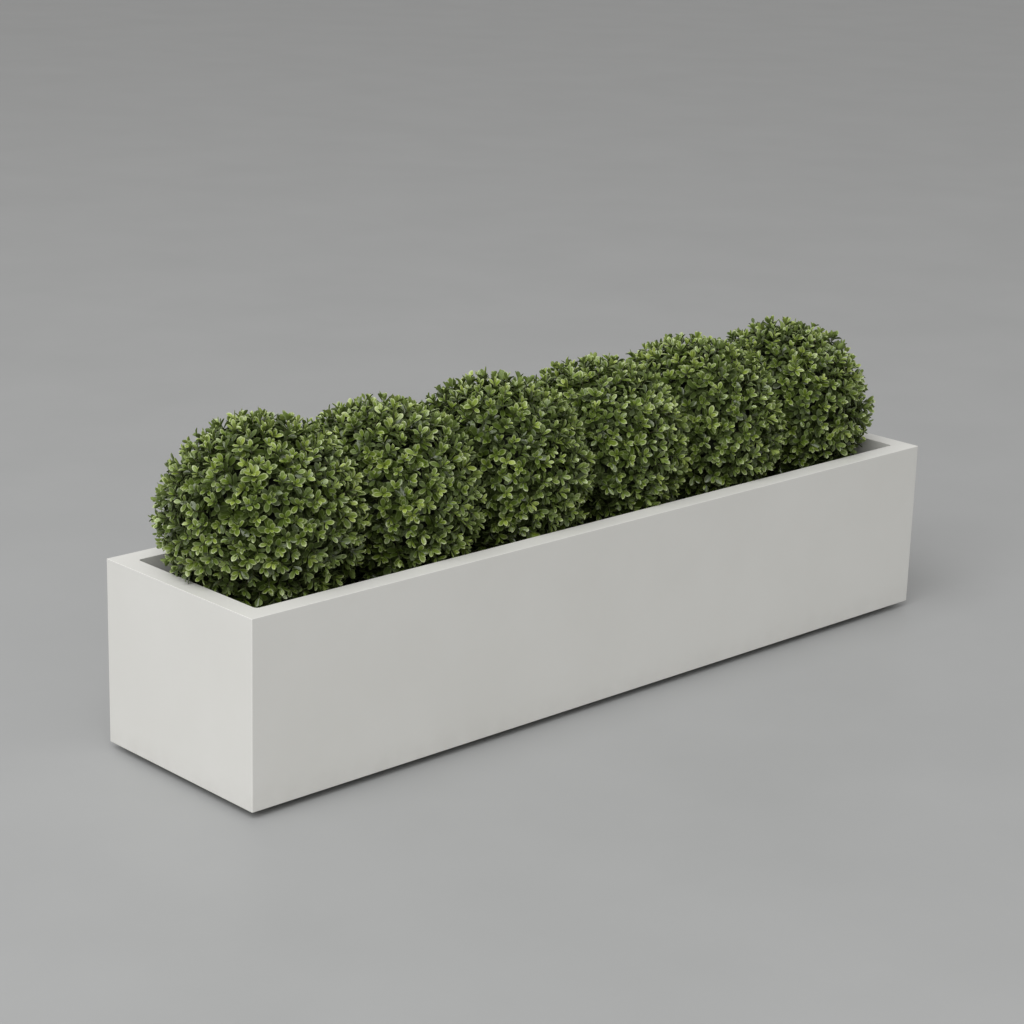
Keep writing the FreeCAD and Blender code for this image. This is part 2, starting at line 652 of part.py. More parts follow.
def make_ball(number):
    """A soft foliage mass, flat where it meets its neighbours and the dressing, round a hollow two-part core. The
    mass ends among the leaf tips and sits a little off its core, as foliage that is pushed on by hand does."""
    end = str(number)
    x = "(%s * %s)" % (number - (BALL_COUNT + 1) / 2, PITCH)
    mass_radius = "(ball_radius - tip_depth)"
    mass_z = "(" + BALL_Z + " + %s)" % ("first_mass_rise" if number == 1 else "mass_rise")
    mass = primitive("Sphere", "mass_" + end, x + " - mass_set_left", "mass_set_back", mass_z, Radius=mass_radius)

    # the room that the mass may fill: a wedge that widens upwards past the rim's inner edge
    low = SOIL_TOP + " + ball_seat_gap"
    high = mass_z + " + " + mass_radius
    spread_low = "ball_flare * (ball_seat_gap - soil_depth)"
    spread_high = "ball_flare * (" + high + " - " + RIM_TOP + ")"
    side = "(" + MOUTH_Y + " - rim_clearance)"
    wall = "(" + MOUTH_X + " - rim_clearance)"
    middle = "(" + PITCH + " / 2 - ball_half_gap)"
    room = doc.addObject("Part::Wedge", "room_" + end)
    left_low = left_high = x + " - " + middle
    right_low = right_high = x + " + " + middle
    if number == 1:
        left_low = "-(" + wall + " + " + spread_low + ")"
        left_high = "-(" + wall + " + " + spread_high + ")"
    if number == BALL_COUNT:
        right_low = wall + " + " + spread_low
        right_high = wall + " + " + spread_high
    set_sizes(room, Xmin=left_low, Xmax=right_low, X2min=left_high, X2max=right_high)
    set_sizes(room, Zmin="-(" + side + " + " + spread_low + ")", Zmax=side + " + " + spread_low)
    set_sizes(room, Z2min="-(" + side + " + " + spread_high + ")", Z2max=side + " + " + spread_high)
    set_sizes(room, Ymin=low, Ymax=high)
    room.Placement = FreeCAD.Placement(FreeCAD.Vector(0, 0, 0), FreeCAD.Rotation(FreeCAD.Vector(1, 0, 0), 90))
    void = primitive("Sphere", "void_" + end, x, z=BALL_Z, Radius=CORE_RADIUS + " + core_clearance")
    well = primitive("Cylinder", "well_" + end, x, z=BOARD_TOP, Radius=HUB_RADIUS + " + core_clearance",
                     Height=BALL_Z + " - hub_drop - " + BOARD_TOP)
    filled = common("filled_" + end, mass, room)
    keep(cut("foliage_" + end, filled, fuse("hollow_" + end, [void, well])), "foliage_" + end)

    # the core: two half shells, the lower one with a tongue and with a socket for the spike
    inner = CORE_RADIUS + " - core_wall"
    dome = primitive("Sphere", "dome_" + end, x, z=BALL_Z, Radius=CORE_RADIUS)
    dome.Angle1 = 0
    dome_room = primitive("Sphere", "dome_room_" + end, x, z=BALL_Z, Radius=inner)
    keep(cut("core_upper_" + end, dome, dome_room), "core_upper_" + end)
    bowl = primitive("Sphere", "bowl_" + end, x, z=BALL_Z, Radius=CORE_RADIUS)
    bowl.Angle2 = 0
    bowl_room = primitive("Sphere", "bowl_room_" + end, x, z=BALL_Z, Radius=inner)
    bowl_shell = cut("bowl_shell_" + end, bowl, bowl_room)
    root = BALL_Z + " - tongue_root"
    span = "tongue_root + tongue_height"
    tongue_radius = "sqrt(pow(" + inner + "; 2) - pow(tongue_height; 2)) - tongue_clearance"
    ring_outer = primitive("Cylinder", "ring_outer_" + end, x, z=root, Height=span, Radius=tongue_radius)
    ring_inner = primitive("Cylinder", "ring_inner_" + end, x, z=root, Height=span,
                           Radius=tongue_radius + " - tongue_wall")
    tongue = cut("tongue_" + end, ring_outer, ring_inner)
    hub_height = BALL_Z + " - hub_drop - " + HUB_BASE
    hub = primitive("Cylinder", "hub_" + end, x, z=HUB_BASE, Height=hub_height, Radius=HUB_RADIUS)
    bore = primitive("Cylinder", "bore_" + end, x, z=HUB_BASE, Height=hub_height,
                     Radius="spike_radius + spike_clearance")
    solid = fuse("bowl_joined_" + end, [bowl_shell, tongue, hub])
    keep(cut("core_lower_" + end, solid, bore), "core_lower_" + end)


make_shell()
make_inserts()
make_rail("front", "-")
make_rail("back", "")
make_rivets("rail_rivets", "-" + RAIL_X + " + rivet_end_inset", RIVET_HEIGHT, RAIL_Y,
            "(rail_thickness + lip_thickness)", "2 * " + RAIL_X + " - 2 * rivet_end_inset", "rivet_count")
make_brace()
make_rivets("brace_rivets", "-brace_rivet_spacing / 2", BRACE_RIVET_HEIGHT, "(" + MOUTH_Y + " - brace_thickness)",
            "(brace_thickness + lip_thickness)", "brace_rivet_spacing", "2")
FOOT_PLACES = [(x, y) for y in ("-" + FOOT_Y, FOOT_Y) for x in ("-" + FOOT_X, "0", FOOT_X)]
for number, (x, y) in enumerate(FOOT_PLACES, start=1):
    make_foot(number, x, y)
make_plug("left", "-" + DRAIN_X)
make_plug("right", DRAIN_X)
make_tray("left", "-" + BOARD_X, "-board_middle_gap / 2", "-2.5 * " + PITCH)
make_tray("right", "board_middle_gap / 2", BOARD_X, "0.5 * " + PITCH)
for number in range(1, BALL_COUNT + 1):
    make_ball(number)

doc.recompute()
for thing in doc.Objects:
    if "Invalid" in thing.State or "Error" in thing.State:
        raise RuntimeError("%s failed: %s" % (thing.Label, thing.State))
for thing in PARTS:
    if thing.Shape.isNull() or not thing.Shape.isValid() or not thing.Shape.Solids:
        raise RuntimeError("%s has no valid solid" % thing.Label)
os.makedirs("parts", exist_ok=True)
for thing in PARTS:
    thing.Shape.exportStep("parts/%s.step" % thing.Label)
    print(thing.Label, len(thing.Shape.Solids), "solids", round(thing.Shape.Volume), "mm3")
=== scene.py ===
"""A long white planter on hidden screw feet, with a row of clipped box balls in dark bark.

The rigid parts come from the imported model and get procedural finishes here. The foliage and the
bark are built here as numpy surfaces: every leaf, stem and chip is a small closed shape.
Metres, X along the planter, front at -Y, Z up, floor at zero.
"""
import math

import bpy
import numpy as np
from mathutils import Matrix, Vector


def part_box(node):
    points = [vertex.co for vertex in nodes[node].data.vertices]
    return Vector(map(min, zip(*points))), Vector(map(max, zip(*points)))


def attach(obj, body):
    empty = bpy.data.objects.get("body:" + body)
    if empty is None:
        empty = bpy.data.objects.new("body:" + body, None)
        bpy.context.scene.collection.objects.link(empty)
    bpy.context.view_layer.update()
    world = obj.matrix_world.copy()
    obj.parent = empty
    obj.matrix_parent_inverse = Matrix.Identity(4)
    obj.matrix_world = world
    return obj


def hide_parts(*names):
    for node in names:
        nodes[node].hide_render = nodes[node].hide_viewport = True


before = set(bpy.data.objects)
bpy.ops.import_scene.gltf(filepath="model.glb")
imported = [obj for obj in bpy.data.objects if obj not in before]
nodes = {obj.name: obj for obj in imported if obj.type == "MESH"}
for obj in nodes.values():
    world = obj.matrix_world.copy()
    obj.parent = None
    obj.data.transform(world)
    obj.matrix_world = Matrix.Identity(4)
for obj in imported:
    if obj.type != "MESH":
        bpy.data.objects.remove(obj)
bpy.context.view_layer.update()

# Levels and edges of the rigid parts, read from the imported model. The boards lie a little short of the
# mouth's end walls.
BALLS = 6
FEET = 6
BOARD_PLAY = 0.003
RIM_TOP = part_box("planter_shell")[1][2]
SOIL_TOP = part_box("dressing_left")[1][2]
BOARD_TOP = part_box("dressing_left")[0][2]
MOUTH_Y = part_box("rail_back")[1][1]
MOUTH_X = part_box("board_right")[1][0] + BOARD_PLAY
FLANGE_RADIUS = (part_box("spikes_left")[1][1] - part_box("spikes_left")[0][1]) / 2
CORE_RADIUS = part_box("core_upper_1")[1][2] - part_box("core_upper_1")[0][2]

# How far the leaves keep from the mouth's walls, from the rim's top, from the middle between two balls,
# from the bark and from the core.
WALL_GAP = 0.001
REST_GAP = 0.0006
NEXT_GAP = 0.0020
BARK_GAP = 0.001
CORE_GAP = 0.0005

# An axis with a greater Z share than this counts as upright.
UPRIGHT = 0.9
UP = np.array([0, 0, 1])
FULL_TURN = 2 * math.pi


def ball_centre(number):
    """The middle of a ball: its upper core half is a dome whose lowest level is the ball's equator."""
    low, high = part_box("core_upper_%d" % number)
    return np.array([(low[0] + high[0]) / 2, (low[1] + high[1]) / 2, low[2]])


# The spikes stand in an even row. The soft balls sit on them a little towards one end and the back.
SPIKES = [ball_centre(number) for number in range(1, BALLS + 1)]
PITCH = SPIKES[1][0] - SPIKES[0][0]
ROW_SHIFT = np.array([-0.005, 0.006, 0.0])
CENTRES = [spike + ROW_SHIFT for spike in SPIKES]

# Each ball's own half width, half height and rise: clipped balls are never quite alike.
BALL_SHAPES = (
    (0.1380, 0.1360, 0.0120),
    (0.1385, 0.1345, 0.0030),
    (0.1400, 0.1360, 0.0035),
    (0.1385, 0.1345, 0.0015),
    (0.1395, 0.1355, 0.0035),
    (0.1405, 0.1345, 0.0015),
)


# Small mesh makers

def new_piece(name, points, faces, materials, smooth=True):
    """A mesh object at the origin from an array of points and a list of face arrays, one per face size."""
    mesh = bpy.data.meshes.new(name)
    sizes = np.concatenate([np.full(len(part), part.shape[1], np.int32) for part in faces])
    corners = np.concatenate([part.ravel() for part in faces]).astype(np.int32)
    starts = np.concatenate([[0], np.cumsum(sizes)[:-1]]).astype(np.int32)
    mesh.vertices.add(len(points))
    mesh.vertices.foreach_set("co", np.ascontiguousarray(points, np.float32).ravel())
    mesh.loops.add(len(corners))
    mesh.loops.foreach_set("vertex_index", corners)
    mesh.polygons.add(len(sizes))
    mesh.polygons.foreach_set("loop_start", starts)
    mesh.update(calc_edges=True)
    if smooth:
        mesh.shade_smooth()
    else:
        mesh.shade_flat()
    for material in materials:
        mesh.materials.append(material)
    piece = bpy.data.objects.new(name, mesh)
    bpy.context.scene.collection.objects.link(piece)
    return piece


def unit(vectors):
    return vectors / np.linalg.norm(vectors, axis=-1, keepdims=True)


def sidestep(axis):
    """Two unit vectors square to each axis and to each other."""
    helper = np.where(np.abs(axis[:, 2:3]) < UPRIGHT, [[0.0, 0.0, 1.0]], [[1.0, 0.0, 0.0]])
    first = unit(np.cross(helper, axis))
    return first, np.cross(axis, first)


def soft_noise(rng, rows, columns, width):
    """Smooth noise of about unit height on a grid: white noise whose spectrum is cut off by a bell of
    that width."""
    across = np.fft.fftfreq(rows)[:, None]
    along = np.fft.fftfreq(columns)[None, :]
    bell = np.exp(-2 * (math.pi * width) ** 2 * (across ** 2 + along ** 2))
    field = np.fft.ifft2(np.fft.fft2(rng.standard_normal((rows, columns))) * bell).real
    return field / field.std()


# The leaves

# A blade's outline: the share of its length at each station, and its half width there. The leaves under
# the surface are hardly seen and have a plainer blade.
FULL_BLADE = np.array([[0.0, 0.20, 0.44, 0.68, 0.89, 1.0], [0.0, 0.48, 0.86, 1.0, 0.66, 0.0]])
PLAIN_BLADE = np.array([[0.0, 0.35, 0.80, 1.0], [0.0, 0.85, 0.90, 0.0]])
BLADE_THICKNESS = 0.0004
LEFT, UPPER, RIGHT, UNDER = 0, 1, 2, 3

# A leaf's cell on the second map: its margin, the width of the upper side, how far to the right the
# underside lies, and the length of both.
CELL_MARGIN = 0.06
CELL_WIDTH = 0.40
CELL_UNDER = 0.48
CELL_LENGTH = 0.88


def ring_count(blade):
    return blade.shape[1] - 2


def leaf_faces(rings):
    """The faces of one leaf: rings of left edge, upper midrib, right edge and under midrib, closed to a
    point at the base and at the tip. Gives quads, triangles, and for each face whether it is on the
    underside."""
    base = 4 * rings
    tip = base + 1
    sides = ((LEFT, UPPER, 0), (UPPER, RIGHT, 0), (RIGHT, UNDER, 1), (UNDER, LEFT, 1))
    quads, triangles, quad_under, triangle_under = [], [], [], []
    for near, far, under in sides:
        for ring in range(rings - 1):
            first = 4 * ring
            quads.append((first + near, first + far, first + 4 + far, first + 4 + near))
            quad_under.append(under)
        last = 4 * (rings - 1)
        triangles.append((base, far, near))
        triangles.append((last + near, last + far, tip))
        triangle_under += [under, under]
    return np.array(quads), np.array(triangles), np.array(quad_under), np.array(triangle_under)


def leaf_blades(blade, base, along, upper, length, width, cup, curl):
    """Leaf points, one block per leaf. At the share v of its length a blade's midrib lies at
    base + length * (v * along + curl * v * v * upper), and its edges stand half a width out to each side
    and are raised by cup times that half width. The under midrib is one blade thickness below the upper
    one."""
    rings = ring_count(blade)
    side = np.cross(along, upper)
    spot = blade[0][None, :, None]
    course = spot * along[:, None] + curl[:, None, None] * spot ** 2 * upper[:, None]
    rib = base[:, None] + length[:, None, None] * course
    half = (width[:, None] * blade[1][None, :] / 2)[:, :, None]
    lift = cup[:, None, None] * half * upper[:, None]
    points = np.empty((len(base), 4 * rings + 2, 3))
    ring = points[:, :4 * rings].reshape(len(base), rings, 4, 3)
    inner = slice(1, rings + 1)
    ring[:, :, LEFT] = (rib - half * side[:, None] + lift)[:, inner]
    ring[:, :, UPPER] = rib[:, inner]
    ring[:, :, RIGHT] = (rib + half * side[:, None] + lift)[:, inner]
    ring[:, :, UNDER] = rib[:, inner] - BLADE_THICKNESS * upper[:, None]
    points[:, -2] = rib[:, 0]
    points[:, -1] = rib[:, -1]
    return points


def leaf_patch(blade):
    """Where each of a leaf's points lies on the flat blade: across from 0 to 1 and along from 0 to 1."""
    across = np.tile([0.0, 0.5, 1.0, 0.5], ring_count(blade))
    along = np.repeat(blade[0][1:-1], 4)
    return np.stack([np.append(across, [0.5, 0.5]), np.append(along, [0.0, 1.0])], axis=1)


def build_leaves(name, blade, points, tint, material):
    """One mesh of many leaves, with a flat map of each blade, a second map that gives each leaf a small
    cell of its own, the tint of each leaf with its painted light and shade, and a sharp line along each
    blade's edge."""
    count, each = points.shape[:2]
    quads, triangles, quad_under, triangle_under = leaf_faces(ring_count(blade))
    start = (np.arange(count) * each)[:, None, None]
    faces = [(start + quads).reshape(-1, 4), (start + triangles).reshape(-1, 3)]
    piece = new_piece(name, points.reshape(-1, 3), faces, [material])
    mesh = piece.data

    under = np.concatenate([np.tile(quad_under, count), np.tile(triangle_under, count)]).astype(np.float32)
    mesh.attributes.new("underside", "FLOAT", "FACE").data.foreach_set("value", under)
    mesh.attributes.new("leaf_tint", "FLOAT", "POINT").data.foreach_set(
        "value", np.repeat(tint, each).astype(np.float32))

    corner = np.empty(len(mesh.loops), np.int32)
    mesh.loops.foreach_get("vertex_index", corner)
    flat = leaf_patch(blade)[corner % each]
    mesh.uv_layers.new(name="LeafUV").data.foreach_set("uv", flat.astype(np.float32).ravel())
    sizes = np.concatenate([np.full(len(faces[0]), 4), np.full(len(faces[1]), 3)])
    corner_under = np.repeat(under, sizes)
    cells = math.ceil(math.sqrt(count))
    leaf = corner // each
    cell = np.stack([leaf % cells, leaf // cells], axis=1)
    within = np.stack([CELL_MARGIN + CELL_WIDTH * flat[:, 0] + CELL_UNDER * corner_under,
                       CELL_MARGIN + CELL_LENGTH * flat[:, 1]], axis=1)
    own_cell = ((cell + within) / cells).astype(np.float32)
    mesh.uv_layers.new(name="OFBake").data.foreach_set("uv", own_cell.ravel())

    ends = np.empty(2 * len(mesh.edges), np.int32)
    mesh.edges.foreach_get("vertices", ends)
    spot = ends.reshape(-1, 2) % each
    on_edge = (spot % 4 == LEFT) | (spot % 4 == RIGHT) | (spot >= each - 2)
    sharp = mesh.attributes.new("sharp_edge", "BOOLEAN", "EDGE")
    sharp.data.foreach_set("value", on_edge.all(axis=1))
    return piece


# The balls

BALL_SEED = 700
SPRIGS = 560
LEAF_LENGTH = 0.0131
LEAF_WIDTH = 0.0063
TIP_REACH = 0.0080

# A ball's surface: how sharply its round shape meets the limiting planes, the height and the number of its
# waves, how fast they run, from and to, how far above the rim the mouth's walls still hold it in, and the
# least slope towards a wall that counts.
HARDNESS = 14
WAVE_HEIGHT = 0.012
WAVES = 9
WAVE_NUMBERS = (5, 14)
RIM_MARGIN = 0.002
LEAST_SLOPE = 1e-6

# A stem: its radius, its sides, the share of its radius at the tip, how deep it starts in the core, and its
# least length.
STEM_RADIUS = 0.0008
STEM_SIDES = 3
STEM_TAPER = 0.55
STEM_ROOT = 0.004
STEM_LEAST = 0.012

# How the sprigs differ: the shake of their directions, the depth of their tips, how far they lean upwards
# and at random, and their size.
SPREAD_SHAKE = 0.70
TIP_SCATTER = 0.0026
UPWARD_LEAN = 0.06
LEAN_SCATTER = 0.20
SPRIG_SCATTER = 0.08

# A sprig's tint: the middle one, how much it varies, how much lighter it is at the ball's top as painted
# light, and how much darker down in the planter as painted shade. The painted shade starts a little above
# the rim.
SPRIG_TINT = 0.46
TINT_SCATTER = 0.14
PAINTED_TOP_LIGHT = 0.07
SHADE_DARKER = 0.12
SHADE_ABOVE = 0.010
SHADE_DEPTH = 0.030

# Painted shade in the crease where a ball is pressed flat against the next one: how much darker a leaf is
# there for each share of its radius that the ball has lost, and at most.
PAINTED_CREASE_SHADE = 2.4
PAINTED_CREASE_SHADE_MOST = 0.26

# How the leaves of one sprig differ: how wide they open in degrees, their turn about the stem and their
# roll in radians, where they sit on the stem, their size, their width and their tint.
OPENING_SCATTER = 9
TURN_SCATTER = 0.22
ROLL_SCATTER = 0.30
BASE_SCATTER = 0.001
LEAF_SCATTER = 0.08
WIDTH_SCATTER = 0.08
LEAF_TINT_SCATTER = 0.10

# How far a leaf's edges are raised, from and to, and its curl, the middle one and how much it varies.
CUP_RANGE = (0.2, 0.6)
CURL = 0.03
CURL_SCATTER = 0.10

# A sprig's leaves, in pairs from the tip down: how far below the tip each pair sits, how wide it opens from
# the stem in degrees, its size and how much lighter it is: painted light on the pairs near the tip and
# painted shade on the deeper ones. The under leaves are larger and in the dark, with more painted shade.
OUTER_PAIRS = (
    (0.0010, 30, 0.80, 0.18),
    (0.0042, 46, 1.00, 0.12),
    (0.0083, 60, 1.06, -0.06),
    (0.0128, 72, 1.08, -0.30),
)
UNDER_PAIRS = (
    (0.0176, 74, 1.30, -0.36),
    (0.0226, 77, 1.42, -0.44),
    (0.0276, 80, 1.55, -0.52),
)


def limits(number):
    """The planes that hold one ball's leaves in, as outward normals and distances from the ball's middle:
    halfway to the next balls and the bark below everywhere, and the mouth's walls for what hangs below
    the rim."""
    x, y, z = CENTRES[number - 1] + [0, 0, BALL_SHAPES[number - 1][2]]
    planes = [((0, 0, -1), z - SOIL_TOP - BARK_GAP)]
    walls = [((0, sign, 0), MOUTH_Y - WALL_GAP - sign * y) for sign in (-1, 1)]
    for sign, last in ((-1, 1), (1, BALLS)):
        if number == last:
            walls.append(((sign, 0, 0), MOUTH_X - WALL_GAP - sign * x))
        else:
            planes.append(((sign, 0, 0), PITCH / 2 - NEXT_GAP - sign * ROW_SHIFT[0]))
    return [[(np.array(normal, float), distance) for normal, distance in group]
            for group in (planes, walls)]


def round_reach(directions, shape):
    """The radius of a ball's round shape along each direction: a spheroid of its half width and half
    height."""
    half_width, half_height = shape[:2]
    flat = directions[:, 0] ** 2 + directions[:, 1] ** 2
    return 1 / np.sqrt(flat / half_width ** 2 + directions[:, 2] ** 2 / half_height ** 2)


def reach(directions, shape, centre, planes, walls, bumps):
    """How far the clipped surface lies along each direction: a soft least of a spheroid's radius and of the
    distances to the limiting planes, times one plus a gentle waviness, and no further than a wall of the
    mouth where that comes out below the rim."""
    inverse = [1 / round_reach(directions, shape)]
    for normal, distance in planes:
        inverse.append(np.maximum(directions @ normal, 0) / distance)
    least = np.sum(np.array(inverse) ** HARDNESS, axis=0) ** (-1 / HARDNESS)
    wave = np.sin(directions @ bumps[:, :3].T + bumps[:, 3]).sum(axis=1) / math.sqrt(len(bumps))
    least = least * (1 + WAVE_HEIGHT * wave)
    low = centre[2] + directions[:, 2] * least < RIM_TOP + RIM_MARGIN
    for normal, distance in walls:
        wall = distance / np.maximum(directions @ normal, LEAST_SLOPE)
        least = np.where(low, np.minimum(least, wall), least)
    return least


def off_core(shapes, middle):
    """Moves whole leaves outwards from the core's middle, by the depth of their lowest point under its
    surface."""
    away = shapes - middle
    sunk = CORE_RADIUS + CORE_GAP - np.linalg.norm(away, axis=2).min(axis=1)
    outward = unit(away.mean(axis=1))
    return shapes + (np.maximum(sunk, 0)[:, None] * outward)[:, None]


def hold_in(shapes, centre, planes, walls):
    """Moves whole leaves or stems, given as blocks of points, back inside the limits: by the depth of their
    furthest point past a plane, and off the rim's solid either inwards or upwards, whichever is nearer."""
    for normal, distance in planes:
        past = ((shapes - centre) @ normal).max(axis=1) - distance
        shapes = shapes - np.maximum(past, 0)[:, None, None] * normal
    for normal, distance in walls:
        past = ((shapes - centre) @ normal).max(axis=1) - distance
        sunk = RIM_TOP + REST_GAP - shapes[:, :, 2].min(axis=1)
        caught = (past > 0) & (sunk > 0)
        inward = caught & (past <= sunk)
        shapes = shapes - np.where(inward, past, 0)[:, None, None] * normal
        shapes = shapes + np.where(caught & ~inward, sunk, 0)[:, None, None] * UP
    return shapes


def spread_directions(count, rng):
    """Even directions over a sphere, along a golden spiral, each shaken a little."""
    place = np.arange(count) + 0.5
    height = 1 - 2 * place / count
    turn = place * math.pi * (3 - math.sqrt(5))
    level = np.sqrt(1 - height ** 2)
    even = np.stack([level * np.cos(turn), level * np.sin(turn), height], axis=1)
    return unit(even + rng.normal(0, SPREAD_SHAKE / math.sqrt(count), (count, 3)))


def set_sprigs(rng, directions, far, pressed, centre):
    """Sprigs whose stems lean a little off the ball's radius and upwards: the tip, the stem's axis, the turn
    about it, the tint and the size of each. The tint carries painted light at the ball's top and painted
    shade below the rim, and falls as painted shade with the share of its round radius that the ball has lost
    to its neighbours."""
    count = len(directions)
    tips = centre + directions * (far + rng.normal(0, TIP_SCATTER, count) - TIP_REACH)[:, None]
    axis = unit(directions + [0, 0, UPWARD_LEAN] + rng.normal(0, LEAN_SCATTER, (count, 3)))
    turn = rng.uniform(0, FULL_TURN, count)
    # Painted shade below the rim, and painted light at the ball's top.
    shade = np.clip((RIM_TOP + SHADE_ABOVE - tips[:, 2]) / SHADE_DEPTH, 0, 1)
    tint = rng.normal(SPRIG_TINT, TINT_SCATTER, count)
    tint = tint + PAINTED_TOP_LIGHT * directions[:, 2] - SHADE_DARKER * shade
    # Painted shade in the creases between neighbouring balls.
    tint -= np.minimum(PAINTED_CREASE_SHADE * pressed, PAINTED_CREASE_SHADE_MOST)
    return tips, axis, turn, tint, rng.normal(1.0, SPRIG_SCATTER, count)


def grow_leaves(rng, sprigs, pairs):
    """Opposite pairs of leaves down each stem, each pair turned a quarter against the one above. Gives the
    leaves' bases, directions, upper sides, sizes and tints."""
    tips, axis, turn, sprig_tint, sprig_size = sprigs
    count = len(tips)
    first, second = sidestep(axis)
    bases, alongs, uppers, sizes, tints = [], [], [], [], []
    for level, (below, opening, size, lighter) in enumerate(pairs):
        for half in (0, 1):
            lean = np.radians(opening + rng.normal(0, OPENING_SCATTER, count))[:, None]
            spin = turn + level * math.pi / 2 + half * math.pi + rng.normal(0, TURN_SCATTER, count)
            outward = np.cos(spin)[:, None] * first + np.sin(spin)[:, None] * second
            along = np.cos(lean) * axis + np.sin(lean) * outward
            upper = np.sin(lean) * axis - np.cos(lean) * outward
            side = np.cross(along, upper)
            roll = rng.normal(0, ROLL_SCATTER, count)[:, None]
            bases.append(tips - axis * (below + rng.normal(0, BASE_SCATTER, count))[:, None])
            alongs.append(along)
            uppers.append(np.cos(roll) * upper + np.sin(roll) * side)
            sizes.append(size * sprig_size * rng.normal(1, LEAF_SCATTER, count))
            # The pair's painted light near the sprig's tip and painted shade further down.
            tints.append(sprig_tint + lighter + rng.normal(0, LEAF_TINT_SCATTER, count))
    return [np.concatenate(part) for part in (bases, alongs, uppers, sizes, tints)]


def stem_rods(starts, ends, radius):
    """Three-sided stems from start to end, thinner at the end, as blocks of six points."""
    axis = unit(ends - starts)
    first, second = sidestep(axis)
    angle = np.arange(STEM_SIDES) * FULL_TURN / STEM_SIDES
    ring = (np.cos(angle)[None, :, None] * first[:, None]
            + np.sin(angle)[None, :, None] * second[:, None])
    return np.concatenate([starts[:, None] + radius * ring,
                           ends[:, None] + STEM_TAPER * radius * ring], axis=1)


def build_stems(name, rods, material):
    """One mesh of all the stems of a ball, each closed at both ends."""
    begin = (np.arange(len(rods)) * 2 * STEM_SIDES)[:, None, None]
    walls = np.array([(0, 1, 4, 3), (1, 2, 5, 4), (2, 0, 3, 5)])
    caps = np.array([(0, 2, 1), (3, 4, 5)])
    faces = [(begin + walls).reshape(-1, 4), (begin + caps).reshape(-1, 3)]
    return new_piece(name, rods.reshape(-1, 3), faces, [material])


def build_ball(number, outer_finish, under_finish, stem_finish):
    """The leaves and the stems of one ball, which stand for its plain foliage solid."""
    rng = np.random.default_rng(BALL_SEED + number)
    shape = BALL_SHAPES[number - 1]
    centre = CENTRES[number - 1] + [0, 0, shape[2]]
    planes, walls = limits(number)
    bumps = np.concatenate([unit(rng.normal(size=(WAVES, 3))) * rng.uniform(*WAVE_NUMBERS, (WAVES, 1)),
                            rng.uniform(0, FULL_TURN, (WAVES, 1))], axis=1)
    directions = spread_directions(SPRIGS, rng)
    far = reach(directions, shape, centre, planes, walls, bumps)
    pressed = np.clip(1 - far / round_reach(directions, shape), 0, 1)
    sprigs = set_sprigs(rng, directions, far, pressed, centre)
    pieces = []
    for name, blade, pairs, finish in (("box_leaves", FULL_BLADE, OUTER_PAIRS, outer_finish),
                                       ("under_leaves", PLAIN_BLADE, UNDER_PAIRS, under_finish)):
        base, along, upper, size, tint = grow_leaves(rng, sprigs, pairs)
        count = len(base)
        points = leaf_blades(blade, base, along, upper, LEAF_LENGTH * size,
                             LEAF_WIDTH * size * rng.normal(1, WIDTH_SCATTER, count),
                             rng.uniform(*CUP_RANGE, count), rng.normal(CURL, CURL_SCATTER, count))
        points = hold_in(off_core(points, SPIKES[number - 1]), centre, planes, walls)
        leaves = build_leaves("%s_%d" % (name, number), blade, points, np.clip(tint, 0, 1), finish)
        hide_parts("foliage_%d" % number)
        pieces.append(leaves)

    tips = sprigs[0]
    from_core = np.minimum(CORE_RADIUS - STEM_ROOT, np.linalg.norm(tips - centre, axis=1) - STEM_LEAST)
    starts = centre + directions * from_core[:, None]
    rods = hold_in(stem_rods(starts, tips, STEM_RADIUS), centre, planes, walls)
    pieces.append(build_stems("sprig_stems_%d" % number, rods, stem_finish))
    for piece in pieces:
        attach(piece, "ball_%d" % number)


# The bark on the boards

BARK_SEED = 40
GRID_STEP = 0.004
BARK_DROP = 0.0065

# The bark's lumps: height and width in grid steps of each noise, and the least and greatest of their sum.
BARK_LUMPS = ((0.0012, 6), (0.0011, 2), (0.0007, 0.9))
LUMP_RANGE = (-0.005, 0.004)

# The dip round a spike: how far from its flange it starts, how wide it is, and the bark left there.
DIP_START = 0.001
DIP_WIDTH = 0.006
LEAST_BARK = 0.0002

# The chips: how many are strewn, how far they keep from the slab's ends, its sides and a spike's flange, how
# far they stand over the slab, and how far under the dressing's top they stop.
CHIPS = 620
CHIP_FROM_ENDS = 0.012
CHIP_FROM_SIDES = 0.010
CHIP_FROM_FLANGE = 0.016
CHIP_LIFT = 0.0008
CHIP_BELOW_TOP = 0.0002

# One chip: its corners, its half length, half width and thickness, the unevenness of its outline, the size
# of its upper face against its lower one, and its slope.
CHIP_CORNERS = 6
CHIP_LENGTHS = (0.005, 0.011)
CHIP_WIDTHS = (0.0022, 0.0045)
CHIP_THICKNESSES = (0.0008, 0.0018)
CHIP_UNEVEN = (0.75, 1.2)
CHIP_UPPER = 0.86
CHIP_SLOPE = 0.16


